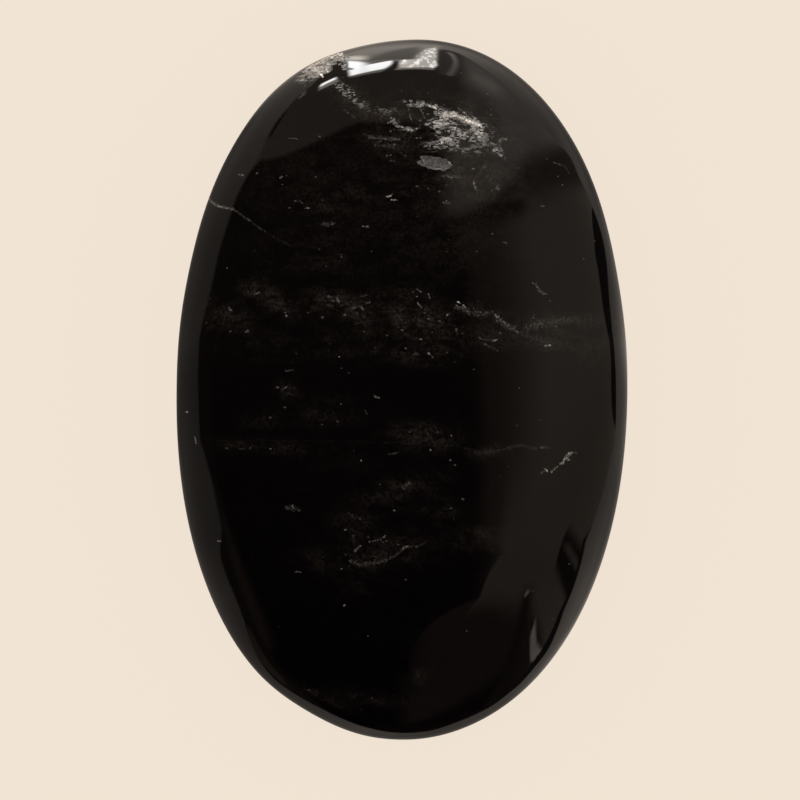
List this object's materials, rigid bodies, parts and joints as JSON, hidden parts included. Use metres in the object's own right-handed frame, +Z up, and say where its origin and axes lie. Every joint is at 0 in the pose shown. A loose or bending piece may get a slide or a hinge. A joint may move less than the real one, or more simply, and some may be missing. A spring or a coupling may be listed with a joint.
{
  "type": "polished bloodstone palm stone",
  "caption": "Oval palm stone, hand polished near-black bloodstone with grey mineral veins, domed on both sides with a small resting flat.",
  "frame": {"origin": "on the surface the stone rests on, under the middle of its plan", "axes": "+Z up out of the domed face, +Y along the stone towards the end with the pale patch, +X across it"},
  "size_m": [0.045, 0.07, 0.019],
  "materials": {
    "polished_stone": "high polish, near-black with grey-brown clouds, a pale grainy patch and fine pale flecks"
  },
  "bodies": {
    "root": {"bloodstone": "polished_stone"}
  },
  "joints": []
}
